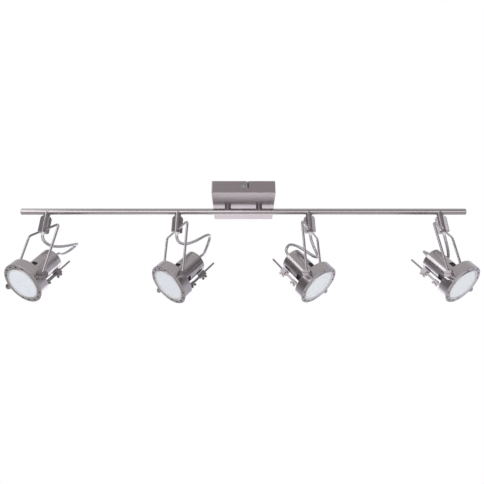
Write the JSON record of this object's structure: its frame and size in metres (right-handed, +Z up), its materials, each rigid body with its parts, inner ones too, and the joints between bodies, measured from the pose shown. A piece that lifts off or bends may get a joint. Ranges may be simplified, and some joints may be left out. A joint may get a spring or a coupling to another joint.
{
  "type": "ceiling spot bar",
  "caption": "Ceiling bar light: a round satin metal bar under a square canopy carries swivelling spot lamps on wire bails, each with a frosted front glass and a loose looped lead.",
  "frame": {"origin": "centre of the canopy's top, in the ceiling plane", "axes": "+X along the bar, +Y towards the back of the fitting, +Z up into the ceiling"},
  "size_m": [0.8569, 0.1308, 0.2065],
  "materials": {
    "satin_nickel": "brushed nickel plate with a clear satin sheen",
    "zinc_steel": "bright zinc plate",
    "white_polyamide": "moulded white polyamide",
    "lead_sleeve": "clear sleeve over silvery leads",
    "frosted_glass": "acid-frosted flat glass",
    "lamp_glass": "pressed reflector glass",
    "ceramic": "glazed steatite"
  },
  "bodies": {
    "fixture": {"ceiling_bracket": "zinc_steel", "canopy": "satin_nickel", "canopy_screws": "zinc_steel", "terminal_block": "white_polyamide", "earth_screw": "zinc_steel", "bar_posts": "satin_nickel", "post_nuts": "zinc_steel", "bar_tube": "satin_nickel", "bar_end_caps": "satin_nickel", "bar_leads": "lead_sleeve", "bar_ferrules": "satin_nickel"},
    "swivel_1": {"holder_1": "satin_nickel", "bail_1": "satin_nickel", "flex_1": "lead_sleeve"},
    "head_1": {"drum_1": "satin_nickel", "bezel_1": "satin_nickel", "glass_1": "frosted_glass", "lamp_1": "lamp_glass", "lampholder_1": "ceramic", "rear_body_1": "satin_nickel", "pivot_screws_1": "satin_nickel", "rail_1": "satin_nickel"},
    "focus_1": {"focus_block_1": "satin_nickel"},
    "swivel_2": {"holder_2": "satin_nickel", "bail_2": "satin_nickel", "flex_2": "lead_sleeve"},
    "head_2": {"drum_2": "satin_nickel", "bezel_2": "satin_nickel", "glass_2": "frosted_glass", "lamp_2": "lamp_glass", "lampholder_2": "ceramic", "rear_body_2": "satin_nickel", "pivot_screws_2": "satin_nickel", "rail_2": "satin_nickel"},
    "focus_2": {"focus_block_2": "satin_nickel"},
    "swivel_3": {"holder_3": "satin_nickel", "bail_3": "satin_nickel", "flex_3": "lead_sleeve"},
    "head_3": {"drum_3": "satin_nickel", "bezel_3": "satin_nickel", "glass_3": "frosted_glass", "lamp_3": "lamp_glass", "lampholder_3": "ceramic", "rear_body_3": "satin_nickel", "pivot_screws_3": "satin_nickel", "rail_3": "satin_nickel"},
    "focus_3": {"focus_block_3": "satin_nickel"},
    "swivel_4": {"holder_4": "satin_nickel", "bail_4": "satin_nickel", "flex_4": "lead_sleeve"},
    "head_4": {"drum_4": "satin_nickel", "bezel_4": "satin_nickel", "glass_4": "frosted_glass", "lamp_4": "lamp_glass", "lampholder_4": "ceramic", "rear_body_4": "satin_nickel", "pivot_screws_4": "satin_nickel", "rail_4": "satin_nickel"},
    "focus_4": {"focus_block_4": "satin_nickel"}
  },
  "joints": [
    {"name": "swivel_1", "type": "hinge", "parent": "fixture", "child": "swivel_1", "pos_m": [-0.375, 0, -0.0345], "axis": [0, 0, 1], "range_deg": [-170, 170]},
    {"name": "tilt_1", "type": "hinge", "parent": "swivel_1", "child": "head_1", "pos_m": [-0.38181, -0.00904, -0.17236], "axis": [0.7986, -0.6018, 0], "range_deg": [-60, 40], "deforming": ["flex_1"]},
    {"name": "focus_1", "type": "slide", "parent": "head_1", "child": "focus_1", "axis": [-0.3664, -0.4862, -0.7934], "range_m": [0, 0.016]},
    {"name": "swivel_2", "type": "hinge", "parent": "fixture", "child": "swivel_2", "pos_m": [-0.125, 0, -0.0345], "axis": [0, 0, 1], "range_deg": [-170, 170]},
    {"name": "tilt_2", "type": "hinge", "parent": "swivel_2", "child": "head_2", "pos_m": [-0.12727, -0.00131, -0.17297], "axis": [0.5, -0.866, 0], "range_deg": [-60, 40], "deforming": ["flex_2"]},
    {"name": "focus_2", "type": "slide", "parent": "head_2", "child": "focus_2", "axis": [-0.5906, -0.341, -0.7314], "range_m": [0, 0.016]},
    {"name": "swivel_3", "type": "hinge", "parent": "fixture", "child": "swivel_3", "pos_m": [0.125, 0, -0.0345], "axis": [0, 0, 1], "range_deg": [-170, 170]},
    {"name": "tilt_3", "type": "hinge", "parent": "swivel_3", "child": "head_3", "pos_m": [0.12738, -0.00109, -0.17297], "axis": [0.4147, 0.91, 0], "range_deg": [-60, 40], "deforming": ["flex_3"]},
    {"name": "focus_3", "type": "slide", "parent": "head_3", "child": "focus_3", "axis": [0.5788, -0.2638, -0.7716], "range_m": [0, 0.016]},
    {"name": "swivel_4", "type": "hinge", "parent": "fixture", "child": "swivel_4", "pos_m": [0.375, 0, -0.0345], "axis": [0, 0, 1], "range_deg": [-170, 170]},
    {"name": "tilt_4", "type": "hinge", "parent": "swivel_4", "child": "head_4", "pos_m": [0.3803, -0.00453, -0.17276], "axis": [0.6494, 0.7604, 0], "range_deg": [-60, 40], "deforming": ["flex_4"]},
    {"name": "focus_4", "type": "slide", "parent": "head_4", "child": "focus_4", "axis": [0.4576, -0.3908, -0.7986], "range_m": [0, 0.016]}
  ]
}
